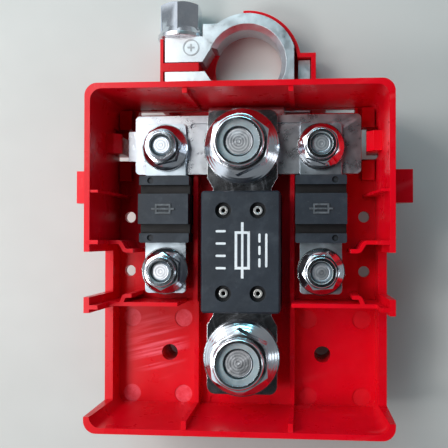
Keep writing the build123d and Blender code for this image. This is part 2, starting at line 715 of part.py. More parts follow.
with BuildPart() as large_fuse_element:
    # Two bolt-down tabs joined by a narrow link inside the case
    with BuildSketch(level(BAR_TOP)):
        Rectangle(LARGE_NECK_WIDTH, 39)
        for sign in (-1, 1):
            with Locations((0, sign * (LARGE_TAB_END + 17.4) / 2)):
                RectangleRounded(LARGE_TAB_WIDTH, LARGE_TAB_END - 17.4, 2.0)
        with BuildLine():
            Polyline(
                (LARGE_NECK_WIDTH / 2, 15.4), (LARGE_TAB_WIDTH / 2, 17.8), (LARGE_TAB_WIDTH / 2, 20),
                (-LARGE_TAB_WIDTH / 2, 20), (-LARGE_TAB_WIDTH / 2, 17.8), (-LARGE_NECK_WIDTH / 2, 15.4),
                close=True,
            )
        make_face()
        mirror(about=Plane.XZ)
        with Locations((0, LARGE_STUD_Y), (0, -LARGE_STUD_Y)):
            Circle(M8["stud"], mode=Mode.SUBTRACT)
        with Locations((-6.2, 0), (6.2, 0)):
            Rectangle(LARGE_NECK_WIDTH - LARGE_LINK_WIDTH - 2, 12, mode=Mode.SUBTRACT)
        with GridLocations(RIVET_SPACING[0], RIVET_SPACING[1], 2, 2):
            Circle(RIVET_SHANK, mode=Mode.SUBTRACT)
    extrude(amount=LARGE_TAB_THICKNESS)
save(large_fuse_element, "large_fuse_element")


def large_case(low, high, face):
    """Half of the large fuse's case between two heights, recessed for rivet heads on one face."""
    recess_low = high - RIVET_RECESS_DEPTH if face == "top" else low
    with BuildPart() as piece:
        with BuildSketch(level(low)):
            RectangleRounded(LARGE_BODY[0], LARGE_BODY[1], 0.8)
            with GridLocations(RIVET_SPACING[0], RIVET_SPACING[1], 2, 2):
                Circle(RIVET_SHANK, mode=Mode.SUBTRACT)
        extrude(amount=high - low)
        outer = piece.faces().sort_by(Axis.Z)[-1 if face == "top" else 0]
        chamfer(outer.outer_wire().edges(), length=0.4)
        with BuildSketch(level(recess_low)):
            with GridLocations(RIVET_SPACING[0], RIVET_SPACING[1], 2, 2):
                Circle(RIVET_RECESS)
        extrude(amount=RIVET_RECESS_DEPTH, mode=Mode.SUBTRACT)
    return piece


save(large_case(LARGE_TAB_TOP, LARGE_CASE_TOP, "top"), "large_fuse_upper_case")
save(large_case(LARGE_CASE_BOTTOM, BAR_TOP, "bottom"), "large_fuse_lower_case")

with BuildPart() as large_fuse_rivets:
    # Hollow rivets with a rolled head at both ends
    rivet_low = LARGE_CASE_BOTTOM + RIVET_RECESS_DEPTH
    rivet_high = LARGE_CASE_TOP - RIVET_RECESS_DEPTH
    with BuildSketch(level(rivet_low)):
        with GridLocations(RIVET_SPACING[0], RIVET_SPACING[1], 2, 2):
            Circle(RIVET_SHANK)
    extrude(amount=rivet_high - rivet_low)
    for height in (rivet_low - 0.5, rivet_high):
        with BuildSketch(level(height)):
            with GridLocations(RIVET_SPACING[0], RIVET_SPACING[1], 2, 2):
                Circle(RIVET_HEAD)
        extrude(amount=0.5)
    with BuildSketch(level(rivet_low - 0.5)):
        with GridLocations(RIVET_SPACING[0], RIVET_SPACING[1], 2, 2):
            Circle(RIVET_BORE)
    extrude(amount=rivet_high - rivet_low + 1, mode=Mode.SUBTRACT)
save(large_fuse_rivets, "large_fuse_rivets")

# ---------------------------------------------------------------- small fuses

SMALL_TAB_WIDTH = 10.1
SMALL_TAB_ENDS = (-10.2, 31.3)
SMALL_LINK_WIDTH = 3.0
SMALL_CASE_TOP = 13.3
SMALL_CASE_BOTTOM = 5.4
SMALL_BLOCK = 7.3                          # length of the middle block along Y
SMALL_STRIP = 2.3                          # length of each end strip along Y
SMALL_STRIP_DROP = 1.1                     # strips below the block's face
SMALL_GROOVE_DROP = 2.8                    # grooves below the block's face
DIMPLE = (3.35, 6.95, 0.75, 0.5)           # x and y from the case's centre, radius, depth


def small_element(x):
    """Two bolt-down tabs joined by a narrow link."""
    low_y, high_y = SMALL_TAB_ENDS
    with BuildPart() as piece:
        with BuildSketch(level(BAR_TOP)):
            with Locations((x, (low_y + high_y) / 2)):
                Rectangle(SMALL_TAB_WIDTH, high_y - low_y)
            with Locations((x - 4.0, SMALL_FUSE_Y), (x + 4.0, SMALL_FUSE_Y)):
                Rectangle(SMALL_TAB_WIDTH / 2 - SMALL_LINK_WIDTH / 2, 10, mode=Mode.SUBTRACT)
            with Locations((x, UPPER_SMALL_Y), (x, LOWER_SMALL_Y)):
                Circle(M5["stud"], mode=Mode.SUBTRACT)
        extrude(amount=SMALL_TAB_THICKNESS)
        corners = piece.edges().filter_by(Axis.Z).group_by(Axis.Y)
        fillet(corners[0] + corners[-1], radius=1.0)
    return piece


def small_case(x, inner, outer):
    """Half of a small fuse's case: a middle block and two lower end strips with grooves between."""
    sign = 1 if outer > inner else -1
    width, length = SMALL_BODY

    def slab(drop):
        """Start height and thickness of a slab from the inner face to below the outer one."""
        face = outer - sign * drop
        return min(inner, face), abs(face - inner)

    with BuildPart() as piece:
        start, thickness = slab(SMALL_GROOVE_DROP)
        with BuildSketch(level(start)):
            with Locations((x, SMALL_FUSE_Y)):
                Rectangle(width, length)
        extrude(amount=thickness)
        start, thickness = slab(SMALL_STRIP_DROP)
        with BuildSketch(level(start)):
            for end in (-1, 1):
                with Locations((x, SMALL_FUSE_Y + end * (length - SMALL_STRIP) / 2)):
                    Rectangle(width, SMALL_STRIP)
        extrude(amount=thickness)
        start, thickness = slab(0)
        with BuildSketch(level(start)):
            with Locations((x, SMALL_FUSE_Y)):
                Rectangle(width, SMALL_BLOCK)
        extrude(amount=thickness)
        chamfer(piece.edges().filter_by(Axis.Z).group_by(Axis.Y)[0], length=0.3)
        chamfer(piece.edges().filter_by(Axis.Z).group_by(Axis.Y)[-1], length=0.3)

        # A dimple at the outer end of each strip
        dimple_x, dimple_y, radius, depth = DIMPLE
        face = outer - sign * SMALL_STRIP_DROP
        with BuildSketch(level(min(face, face - sign * depth))):
            for end in (-1, 1):
                with Locations((x + (dimple_x if x > 0 else -dimple_x), SMALL_FUSE_Y + end * dimple_y)):
                    Circle(radius)
        extrude(amount=depth, mode=Mode.SUBTRACT)
    return piece


for side, x in (("left", -SMALL_STUD_X), ("right", SMALL_STUD_X)):
    save(small_element(x), f"{side}_fuse_element")
    save(small_case(x, SMALL_TAB_TOP, SMALL_CASE_TOP), f"{side}_fuse_upper_case")
    save(small_case(x, BAR_TOP, SMALL_CASE_BOTTOM), f"{side}_fuse_lower_case")
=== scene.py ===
import math

import bmesh
import bpy
from mathutils import Matrix, Vector


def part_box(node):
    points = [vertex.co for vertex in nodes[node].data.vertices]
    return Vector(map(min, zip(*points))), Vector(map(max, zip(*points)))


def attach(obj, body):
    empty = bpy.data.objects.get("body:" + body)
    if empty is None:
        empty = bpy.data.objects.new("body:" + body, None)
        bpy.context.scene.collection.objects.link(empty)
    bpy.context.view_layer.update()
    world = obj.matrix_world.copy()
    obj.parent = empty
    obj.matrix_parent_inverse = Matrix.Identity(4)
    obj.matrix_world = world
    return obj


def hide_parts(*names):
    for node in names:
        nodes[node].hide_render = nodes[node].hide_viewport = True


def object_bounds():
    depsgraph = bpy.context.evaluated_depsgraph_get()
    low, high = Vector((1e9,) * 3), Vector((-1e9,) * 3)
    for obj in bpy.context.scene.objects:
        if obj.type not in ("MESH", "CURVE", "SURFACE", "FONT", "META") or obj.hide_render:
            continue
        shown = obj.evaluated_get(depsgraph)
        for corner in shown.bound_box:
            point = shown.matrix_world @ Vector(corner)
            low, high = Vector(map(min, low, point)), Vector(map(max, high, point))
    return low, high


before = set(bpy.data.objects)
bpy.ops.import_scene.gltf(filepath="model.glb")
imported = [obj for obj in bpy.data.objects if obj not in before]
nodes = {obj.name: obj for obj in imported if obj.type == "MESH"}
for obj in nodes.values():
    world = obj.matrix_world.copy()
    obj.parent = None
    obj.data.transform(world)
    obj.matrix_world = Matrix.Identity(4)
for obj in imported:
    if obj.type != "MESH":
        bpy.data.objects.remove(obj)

cad_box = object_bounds()
MM = 0.001
BLOCK = "block"


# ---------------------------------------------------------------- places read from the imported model

def centre(node):
    """The middle of a CAD node's box."""
    low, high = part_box(node)
    return (low + high) / 2


def top(node):
    """The height of a CAD node's highest point."""
    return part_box(node)[1].z


SIDES = ("left", "right")
LARGE = ("upper_m8", "lower_m8")
SMALL = tuple(f"{row}_{side}_m5" for row in ("upper", "lower") for side in SIDES)
LOWEST = cad_box[0][2]
TRAY_MIDDLE = centre("tray")

# Marks on the tray's floor, placed from its middle: ejector pins with a painted highlight, much paler on the
# lit left side than on the right, and a rubbed place
EJECTOR_RADIUS = 2.3 * MM
EJECTOR_EDGE = 0.15 * MM
LEFT_EJECTOR_HIGHLIGHT, RIGHT_EJECTOR_HIGHLIGHT = 0.7, 0.05
EJECTOR_X = (15.9, 29.3)
EJECTOR_Y = (-15.95, -35.35)
EJECTOR_MARKS = [
    Vector((sign * x * MM, TRAY_MIDDLE.y + y * MM, 0))
    for sign in (-1, 1) for x in EJECTOR_X for y in EJECTOR_Y
]
RUBBED_PLACE = Vector((-23 * MM, TRAY_MIDDLE.y - 23 * MM, 0))

# Painted shade: the fuse cases are painted blacker from this far below the small fuses' tops
PAINTED_SHADE_DROP = 1.6 * MM


# ---------------------------------------------------------------- material building

class Surface:
    """One procedural material: a Principled shader with colour, roughness and bump built from noise."""

    def __init__(self, name, **sockets):
        self.material = bpy.data.materials.new(name)
        self.material.use_nodes = True
        self.tree = self.material.node_tree
        self.shader = self.tree.nodes["Principled BSDF"]
        for key, value in sockets.items():
            self.shader.inputs[key.replace("_", " ").title().replace("Ior", "IOR")].default_value = value
        self.coords = self.tree.nodes.new("ShaderNodeTexCoord").outputs["Object"]
        self.normal = None

    def node(self, kind, inputs=(), **settings):
        """A new node with its settings made and its inputs linked or set."""
        made = self.tree.nodes.new(kind)
        for key, value in settings.items():
            setattr(made, key, value)
        for key, value in dict(inputs).items():
            if isinstance(value, bpy.types.NodeSocket):
                self.tree.links.new(value, made.inputs[key])
            else:
                made.inputs[key].default_value = value
        return made

    def stretched(self, stretch, turn=0.0):
        """Coordinates that run slower along some axes, turned about the vertical."""
        scale = tuple(1 / value for value in stretch)
        mapping = {"Vector": self.coords, "Scale": scale, "Rotation": (0, 0, turn)}
        return self.node("ShaderNodeMapping", mapping, vector_type="TEXTURE").outputs["Vector"]

    def noise(self, scale, detail=3.0, rough=0.55, distortion=0.0, stretch=None, turn=0.0):
        """Cloudy noise, drawn out into streaks when stretched."""
        vector = self.stretched(stretch, turn) if stretch else self.coords
        values = {
            "Vector": vector, "Scale": scale, "Detail": detail, "Roughness": rough,
            "Distortion": distortion,
        }
        return self.node("ShaderNodeTexNoise", values).outputs["Fac"]

    def cells(self, scale):
        """Distance to the nearest of many scattered points."""
        values = {"Vector": self.coords, "Scale": scale}
        return self.node("ShaderNodeTexVoronoi", values).outputs["Distance"]

    def math(self, operation, a, b=0.0):
        """The result of a math node on two sockets or numbers."""
        made = self.node("ShaderNodeMath", {0: a, 1: b}, operation=operation)
        return made.outputs[0]

    def ramp(self, value, low, high, start=0.0, end=1.0):
        """Maps a value's span from low to high onto start to end."""
        values = {"Value": value, "From Min": low, "From Max": high, "To Min": start, "To Max": end}
        return self.node("ShaderNodeMapRange", values, clamp=True).outputs["Result"]

    def blend(self, amount, first, second):
        """A mix of two colours."""
        made = self.node("ShaderNodeMix", data_type="RGBA")
        for index, value in ((0, amount), (6, first), (7, second)):
            if isinstance(value, bpy.types.NodeSocket):
                self.tree.links.new(value, made.inputs[index])
            else:
                made.inputs[index].default_value = value if index == 0 else (*value, 1.0)
        return made.outputs[2]

    def radius(self, point):
        """Distance from an upright axis through a point."""
        values = {0: self.coords, 1: tuple(point)}
        offset = self.node("ShaderNodeVectorMath", values, operation="SUBTRACT").outputs[0]
        values = {0: offset, 1: (1, 1, 0)}
        flat = self.node("ShaderNodeVectorMath", values, operation="MULTIPLY").outputs[0]
        return self.node("ShaderNodeVectorMath", {0: flat}, operation="LENGTH").outputs["Value"]

    def hidden(self, distance):
        """1 where the surface is open, less in corners."""
        return self.node("ShaderNodeAmbientOcclusion", {"Distance": distance}, samples=6).outputs["AO"]

    def bump(self, height, distance, strength=1.0):
        """Adds a bump on top of those already made."""
        values = {"Height": height, "Distance": distance, "Strength": strength}
        if self.normal is not None:
            values["Normal"] = self.normal
        self.normal = self.node("ShaderNodeBump", values).outputs["Normal"]

    def finish(self, colour, roughness):
        """Links what was built to the shader and returns the material."""
        self.tree.links.new(colour, self.shader.inputs["Base Color"])
        self.tree.links.new(roughness, self.shader.inputs["Roughness"])
        if self.normal is not None:
            self.tree.links.new(self.normal, self.shader.inputs["Normal"])
        return self.material


def red_plastic(ejector_marks, rubbed_place):
    """Moulded nylon: glossy, slightly wavy, with flow marks, scuffs and ejector-pin marks painted pale as a
    highlight.
    """
    s = Surface("red_plastic", metallic=0.0, ior=1.32, subsurface_weight=0.12)
    s.shader.inputs["Subsurface Radius"].default_value = (1.0, 0.08, 0.05)
    s.shader.inputs["Subsurface Scale"].default_value = 1.2 * MM
    tone = s.ramp(s.noise(38, 4, 0.6), 0.32, 0.68)
    flow = s.ramp(s.noise(90, 3, 0.5, stretch=(1, 0.16, 1)), 0.35, 0.7)
    colour = s.blend(tone, (0.60, 0.0005, 0.006), (0.72, 0.001, 0.012))
    colour = s.blend(s.math("MULTIPLY", flow, 0.25), colour, (0.80, 0.003, 0.018))
    scuffs = s.ramp(s.noise(420, 1, 0.4, stretch=(0.06, 1, 1), turn=0.35), 0.62, 0.80)
    where = s.ramp(s.noise(26, 2), 0.52, 0.66)
    marks = s.math("MULTIPLY", scuffs, where)
    colour = s.blend(s.math("MULTIPLY", marks, 0.30), colour, (0.80, 0.10, 0.12))
    rubbed = s.ramp(s.noise(520, 3, 0.55, stretch=(0.05, 1, 1), turn=0.25), 0.48, 0.62)
    near = s.ramp(s.radius(rubbed_place), 4 * MM, 9 * MM, 1.0, 0.0)
    colour = s.blend(s.math("MULTIPLY", rubbed, near), colour, (0.90, 0.12, 0.17))
    rough = s.ramp(s.noise(160, 4, 0.6), 0.3, 0.7, 0.24, 0.38)
    # Ejector-pin marks: pale discs painted as a highlight, strong on the lit left and faint on the right
    for place in ejector_marks:
        disc = s.ramp(s.radius(place), EJECTOR_RADIUS - EJECTOR_EDGE, EJECTOR_RADIUS, 1.0, 0.0)
        mottle = s.ramp(s.noise(500, 4, 0.7), 0.3, 0.7, 0.25, 1.0)
        pale = s.math("MULTIPLY", s.math("MULTIPLY", disc, mottle), LEFT_EJECTOR_HIGHLIGHT if place.x < 0 else RIGHT_EJECTOR_HIGHLIGHT)
        colour = s.blend(pale, colour, (0.90, 0.13, 0.18))
        rough = s.math("ADD", rough, s.math("MULTIPLY", disc, 0.12))
    rough = s.math("ADD", rough, s.math("MULTIPLY", marks, 0.04))
    s.bump(s.noise(55, 2, 0.4), 0.25 * MM, 0.35)
    s.bump(s.noise(1500, 2, 0.5), 0.02 * MM, 0.25)
    return s.finish(colour, rough)


TURNING_PITCH = 0.64 * MM


def plating(name, light, dark, low_rough, high_rough, grain=0.5, around=None, turned=0.0):
    """Bright plating on steel: cloudy tone, hairline scratches and a fine grain.

    Turning marks run round a point, and show in the colour as much as turned says.
    """
    s = Surface(name, metallic=1.0)
    cloud = s.ramp(s.noise(170, 4, 0.6), 0.3, 0.7)
    colour = s.blend(cloud, dark, light)
    blue = s.ramp(s.noise(75, 2), 0.45, 0.7, 0.0, 0.5)
    colour = s.blend(blue, colour, (0.62, 0.73, 0.84))
    hairs = s.ramp(s.noise(1300, 1, 0.4, stretch=(0.04, 1, 1), turn=0.6), 0.6, 0.75)
    cross = s.ramp(s.noise(1200, 1, 0.4, stretch=(1, 0.04, 1), turn=0.25), 0.62, 0.78)
    marks = s.math("MAXIMUM", hairs, cross)
    rough = s.ramp(s.noise(340, 4, 0.6), 0.3, 0.72, low_rough, high_rough)
    rough = s.math("ADD", rough, s.math("MULTIPLY", marks, 0.08))
    if around is not None:
        rings = s.math("SINE", s.math("MULTIPLY", s.radius(around), 2 * math.pi / TURNING_PITCH))
        bright = s.math("MULTIPLY", s.ramp(rings, -1.0, 1.0), turned)
        colour = s.blend(bright, colour, (0.92, 0.93, 0.95))
        s.bump(rings, 0.006 * MM, 0.6)
    s.bump(s.noise(2200, 2, 0.5), 0.02 * MM, grain)
    return s.finish(colour, rough)


def cast_tin(name, dark, light):
    """Tin over a rough casting: satin, finely pitted, with brighter rubbed patches."""
    s = Surface(name, metallic=1.0)
    cloud = s.ramp(s.noise(130, 5, 0.6), 0.3, 0.7)
    colour = s.blend(cloud, dark, light)
    pits = s.ramp(s.cells(1300), 0.0, 0.30)
    colour = s.blend(s.math("MULTIPLY", s.math("SUBTRACT", 1.0, pits), 0.3), colour, (0.46, 0.48, 0.51))
    rough = s.ramp(s.noise(420, 5, 0.65), 0.28, 0.75, 0.26, 0.50)
    s.bump(s.noise(520, 5, 0.6), 0.05 * MM, 0.5)
    s.bump(pits, 0.008 * MM, 0.4)
    s.bump(s.noise(2600, 3, 0.6), 0.015 * MM, 0.6)
    return s.finish(colour, rough)


def fuse_case(shade_top):
    """Dark glass-filled moulding: slate grey on top, with painted shade that makes it blacker low down and
    in corners, and with pale specks and dust.
    """
    s = Surface("fuse_case", metallic=0.0, ior=1.42)
    tone = s.ramp(s.noise(110, 4, 0.6), 0.3, 0.7)
    colour = s.blend(tone, (0.009, 0.014, 0.022), (0.018, 0.026, 0.038))
    specks = s.ramp(s.noise(3600, 2, 0.5), 0.70, 0.78)
    colour = s.blend(s.math("MULTIPLY", specks, 0.5), colour, (0.20, 0.21, 0.22))
    dust = s.ramp(s.noise(300, 4, 0.6), 0.5, 0.8, 0.0, 0.16)
    colour = s.blend(dust, colour, (0.14, 0.16, 0.18))
    # Painted shade: the case goes near black where it is hidden in corners and recesses
    corners = s.ramp(s.hidden(3 * MM), 0.35, 0.85)
    colour = s.blend(corners, (0.002, 0.002, 0.003), colour)
    # Painted shade: below shade_top the case goes near black, as its grooves do in shade
    height = s.node("ShaderNodeSeparateXYZ", {"Vector": s.coords}).outputs["Z"]
    painted_low_shade = s.ramp(height, shade_top - 0.4 * MM, shade_top)
    colour = s.blend(painted_low_shade, (0.003, 0.003, 0.004), colour)
    rough = s.ramp(s.noise(260, 4, 0.6), 0.3, 0.7, 0.42, 0.60)
    s.bump(s.noise(1700, 4, 0.6), 0.03 * MM, 0.7)
    s.bump(s.noise(120, 2), 0.1 * MM, 0.25)
    return s.finish(colour, rough)


def highlighted_raised_case():
    """The raised marks on a fuse case, painted a paler grey as a highlight for the light their raised edges
    catch.
    """
    s = Surface("fuse_case_raised", metallic=0.0, ior=1.48)
    tone = s.ramp(s.noise(700, 5, 0.7, 0.4), 0.35, 0.65)
    colour = s.blend(tone, (0.035, 0.042, 0.050), (0.11, 0.125, 0.14))
    rough = s.ramp(s.noise(400, 4, 0.6), 0.3, 0.7, 0.40, 0.55)
    s.bump(s.noise(1700, 4, 0.6), 0.02 * MM, 0.6)
    return s.finish(colour, rough)


def white_ink():
    """Screen print: off white, thin in places."""
    s = Surface("white_ink", metallic=0.0)
    worn = s.ramp(s.noise(1400, 5, 0.7, 0.4), 0.60, 0.74)
    edge = s.ramp(s.noise(160, 2), 0.3, 0.7)
    colour = s.blend(edge, (0.62, 0.66, 0.70), (0.78, 0.81, 0.84))
    colour = s.blend(s.math("MULTIPLY", worn, 0.8), colour, (0.10, 0.11, 0.12))
    rough = s.ramp(s.noise(500, 3), 0.3, 0.7, 0.50, 0.68)
    s.bump(s.noise(1900, 3), 0.01 * MM, 0.5)
    return s.finish(colour, rough)


def nylon():
    """The lock nuts' plastic rings: milky grey with faint turning marks."""
    s = Surface("nylon", metallic=0.0, ior=1.53, subsurface_weight=0.15)
    s.shader.inputs["Subsurface Scale"].default_value = 0.5 * MM
    tone = s.ramp(s.noise(260, 4, 0.6), 0.3, 0.7)
    colour = s.blend(tone, (0.20, 0.24, 0.26), (0.34, 0.39, 0.41))
    rough = s.ramp(s.noise(500, 3), 0.3, 0.7, 0.34, 0.52)
    s.bump(s.noise(1300, 3), 0.02 * MM, 0.5)
    return s.finish(colour, rough)


def pale_floor():
    """The studio floor: a plain pale sheet with the faintest grain."""
    s = Surface("pale_floor", metallic=0.0)
    tone = s.ramp(s.noise(30, 3), 0.3, 0.7)
    colour = s.blend(tone, (0.54, 0.53, 0.51), (0.57, 0.56, 0.54))
    rough = s.ramp(s.noise(200, 3), 0.3, 0.7, 0.55, 0.65)
    s.bump(s.noise(900, 3), 0.01 * MM, 0.3)
    return s.finish(colour, rough)


# ---------------------------------------------------------------- finishing the CAD nodes

def dress(node, material, width, segments=2, angle=32.0, pierced=False):
    """Gives a CAD node its material, welded smooth shading and rounded edges.

    A pierced node has faces with many openings, which are split into even triangles.
    """
    piece = nodes[node]
    mesh = piece.data
    mesh.materials.clear()
    mesh.materials.append(material)
    if mesh.has_custom_normals:
        mesh.attributes.remove(mesh.attributes["custom_normal"])
    mesh.shade_smooth()
    weld = piece.modifiers.new("weld", "WELD")
    weld.merge_threshold = 0.002 * MM
    flat = piece.modifiers.new("flat_faces", "DECIMATE")
    flat.decimate_type = "DISSOLVE"
    flat.angle_limit = math.radians(0.6)
    if width:
        bevel = piece.modifiers.new("edges", "BEVEL")
        bevel.width = width
        bevel.segments = segments
        bevel.limit_method = "ANGLE"
        bevel.angle_limit = math.radians(angle)
        bevel.use_clamp_overlap = True
        bevel.miter_outer = "MITER_ARC"
        bevel.harden_normals = True
    else:
        normals = piece.modifiers.new("normals", "WEIGHTED_NORMAL")
        normals.keep_sharp = True
    if pierced:
        even = piece.modifiers.new("even_triangles", "TRIANGULATE")
        even.min_vertices = 5
        even.ngon_method = "BEAUTY"


RED = red_plastic(EJECTOR_MARKS, RUBBED_PLACE)
CASE = fuse_case(top("left_fuse_upper_case") - PAINTED_SHADE_DROP)
RAISED_HIGHLIGHT = highlighted_raised_case()
INK = white_ink()
NYLON = nylon()
TAB = plating("plated_fuse_tab", (0.78, 0.80, 0.83), (0.60, 0.62, 0.66), 0.10, 0.20, grain=0.2)
SMALL_TAB = plating("plated_small_tab", (0.70, 0.79, 0.86), (0.52, 0.61, 0.68), 0.26, 0.38, grain=0.25)
BAR = plating("plated_bar", (0.78, 0.81, 0.85), (0.58, 0.61, 0.66), 0.24, 0.36, grain=0.25)
CAST = cast_tin("tinned_casting", (0.54, 0.58, 0.62), (0.76, 0.80, 0.83))
# A darker copy of the cast tin for the raised sign: painted shade
SHADED_SIGN_TIN = cast_tin("tinned_casting_painted_shade", (0.30, 0.32, 0.34), (0.44, 0.46, 0.48))
WASHER = plating("plated_washer", (0.84, 0.85, 0.87), (0.66, 0.68, 0.71), 0.20, 0.34)
BOLT = plating("plated_bolt", (0.84, 0.87, 0.92), (0.60, 0.65, 0.72), 0.07, 0.15, grain=0.2)
RIVET = plating("plated_rivet", (0.80, 0.79, 0.76), (0.60, 0.59, 0.57), 0.24, 0.38)

dress("tray", RED, 0.35 * MM, 3, pierced=True)
dress("terminal_shroud", RED, 0.25 * MM)
dress("battery_clamp", CAST, 0.4 * MM, 3)
dress("bus_bar", BAR, 0.18 * MM)
dress("large_fuse_element", TAB, 0.15 * MM)
dress("large_fuse_rivets", RIVET, 0.12 * MM)
dress("large_fuse_upper_case", CASE, 0.2 * MM)
dress("large_fuse_lower_case", CASE, 0.2 * MM)
dress("clamp_washer", WASHER, 0.15 * MM)
dress("clamp_bolt", BOLT, 0.25 * MM, 3)
for side in SIDES:
    dress(f"{side}_fuse_element", SMALL_TAB, 0.12 * MM)
    dress(f"{side}_fuse_upper_case", CASE, 0.15 * MM)
    dress(f"{side}_fuse_lower_case", CASE, 0.15 * MM)
for name in LARGE + SMALL:
    zinc = plating(
        f"plated_nut_{name}", (0.82, 0.85, 0.89), (0.60, 0.64, 0.70), 0.09, 0.20,
        grain=0.25, around=centre(f"{name}_nut"),
    )
    dress(f"{name}_nut", zinc, (0.3 if name in LARGE else 0.18) * MM, 3)
    dress(f"{name}_nylon_ring", NYLON, 0.15 * MM)


# ---------------------------------------------------------------- mesh helpers

def piece_from(bm, name, material, body=BLOCK):
    """A finished piece made from a bmesh, riding on a body."""
    bmesh.ops.recalc_face_normals(bm, faces=bm.faces[:])
    mesh = bpy.data.meshes.new(name)
    bm.to_mesh(mesh)
    bm.free()
    mesh.shade_smooth()
    mesh.set_sharp_from_angle(angle=math.radians(40))
    mesh.materials.append(material)
    piece = bpy.data.objects.new(name, mesh)
    bpy.context.scene.collection.objects.link(piece)
    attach(piece, body)
    return piece


def prism(bm, outline, low, high):
    """Adds an upright prism with a flat outline, from one height to another."""
    lower = [bm.verts.new((x, y, low)) for x, y in outline]
    upper = [bm.verts.new((x, y, high)) for x, y in outline]
    bm.faces.new(list(reversed(lower)))
    bm.faces.new(upper)
    count = len(outline)
    for i in range(count):
        j = (i + 1) % count
        bm.faces.new((lower[i], lower[j], upper[j], upper[i]))


def stroke(start, end, width, steps=8):
    """The outline of a line with round ends."""
    along = (Vector(end) - Vector(start)).normalized()
    heading = math.atan2(along.y, along.x)
    outline = []
    for point, turn in ((Vector(end), -90), (Vector(start), 90)):
        for i in range(steps + 1):
            angle = heading + math.radians(turn + 180 * i / steps)
            offset = Vector((math.cos(angle), math.sin(angle))) * width / 2
            outline.append(tuple(point + offset))
    return outline


def ring_strip(bm, middle, radius, width, low, high, count=48):
    """Adds a flat ring with square edges."""
    rows = []
    for r, z in (
        (radius - width / 2, low), (radius + width / 2, low),
        (radius + width / 2, high), (radius - width / 2, high),
    ):
        rows.append([
            bm.verts.new((
                middle[0] + r * math.cos(2 * math.pi * i / count),
                middle[1] + r * math.sin(2 * math.pi * i / count), z,
            ))
            for i in range(count)
        ])
    for k in range(4):
        inner, outer = rows[k], rows[(k + 1) % 4]
        for i in range(count):
            j = (i + 1) % count
            bm.faces.new((inner[i], inner[j], outer[j], outer[i]))


# ---------------------------------------------------------------- studs with real threads

M8_STUD = {"radius": 4.0 * MM, "pitch": 1.25 * MM, "head_height": 3.0 * MM, "chamfer": 0.9 * MM}
M5_STUD = {"radius": 2.5 * MM, "pitch": 0.8 * MM, "head_height": 2.5 * MM, "chamfer": 0.6 * MM}
THREAD_DEPTH = 0.54       # of the pitch
STEPS_PER_TURN = 10
STUD_SIDES = 64
HEAD_EDGE = 0.2 * MM
RIDGE_WIDTH = 0.32 * MM
RIDGE_DEPTH = 0.05 * MM


def threaded_stud(node, radius, pitch, head_height, chamfer):
    """A stud with a helical thread, a chamfered tip and a turned end, in place of its plain CAD node."""
    low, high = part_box(node)
    middle = (low + high) / 2
    head_radius = (high.x - low.x) / 2
    head_top = low.z + head_height
    depth = THREAD_DEPTH * pitch
    bm = bmesh.new()

    def circle(z, reach):
        """Points round the axis at a height, as far out as reach says for each."""
        return [
            bm.verts.new((
                middle.x + reach(i) * math.cos(2 * math.pi * i / STUD_SIDES),
                middle.y + reach(i) * math.sin(2 * math.pi * i / STUD_SIDES), z,
            ))
            for i in range(STUD_SIDES)
        ]

    def thread(z):
        """How far out the thread reaches at a height, point by point."""
        limit = min(radius, radius - chamfer + (high.z - z))

        def reach(i):
            phase = ((z - head_top) / pitch - i / STUD_SIDES) % 1.0
            crest = abs(2 * phase - 1)
            # Straight flanks between flat crests and flat roots
            return min(limit, radius - depth * min(1.0, max(0.0, 1.25 * crest - 0.1)))

        return reach

    rows = [
        circle(low.z, lambda i: head_radius - HEAD_EDGE),
        circle(low.z + HEAD_EDGE, lambda i: head_radius),
        circle(head_top, lambda i: head_radius),
        circle(head_top, lambda i: radius - depth),
    ]
    step = pitch / STEPS_PER_TURN
    count = int((high.z - head_top) / step)
    for k in range(1, count + 1):
        z = head_top + (high.z - head_top) * k / count
        rows.append(circle(z, thread(z)))
    # Turned end: shallow concentric ridges
    end_radius = radius - chamfer
    ridges = max(5, round(end_radius / RIDGE_WIDTH))
    for k in range(1, 2 * ridges):
        r = end_radius * (1 - k / (2 * ridges))
        dip = RIDGE_DEPTH if k % 2 else 0.0
        rows.append(circle(high.z - dip, lambda i, r=r: r))
    for inner, outer in zip(rows, rows[1:]):
        for i in range(STUD_SIDES):
            j = (i + 1) % STUD_SIDES
            bm.faces.new((inner[i], inner[j], outer[j], outer[i]))
    bm.faces.new(rows[0])
    bm.faces.new(rows[-1])
    steel = plating(
        f"plated_{node}", (0.50, 0.51, 0.54), (0.24, 0.25, 0.28), 0.28, 0.42,
        grain=0.65, around=middle, turned=0.55,
    )
    piece = piece_from(bm, f"{node}_threaded", steel)
    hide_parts(node)


for name in LARGE:
    threaded_stud(f"{name}_stud", **M8_STUD)
for name in SMALL:
    threaded_stud(f"{name}_stud", **M5_STUD)


# ---------------------------------------------------------------- printed and raised marks

INK_HEIGHT = 0.03 * MM
INK_DEPTH = 0.01 * MM
INK_LINE = 0.55 * MM
EMBOSS_HEIGHT = 0.22 * MM
EMBOSS_DEPTH = 0.05 * MM
BOX_HALF = 0.34           # half a fuse symbol's box, of the symbol's length
SIGN_HEIGHT = 0.14 * MM
SIGN_DEPTH = 0.1 * MM
EAR_TOP = 8.0 * MM
SIGN_MIDDLE = (-14.6 * MM, 4.3 * MM)


def bar(bm, middle, size, low, high):
    """Adds an upright block, given its middle and its size along X and Y."""
    x, y = middle
    dx, dy = size[0] / 2, size[1] / 2
    prism(bm, [(x - dx, y - dy), (x + dx, y - dy), (x + dx, y + dy), (x - dx, y + dy)], low, high)


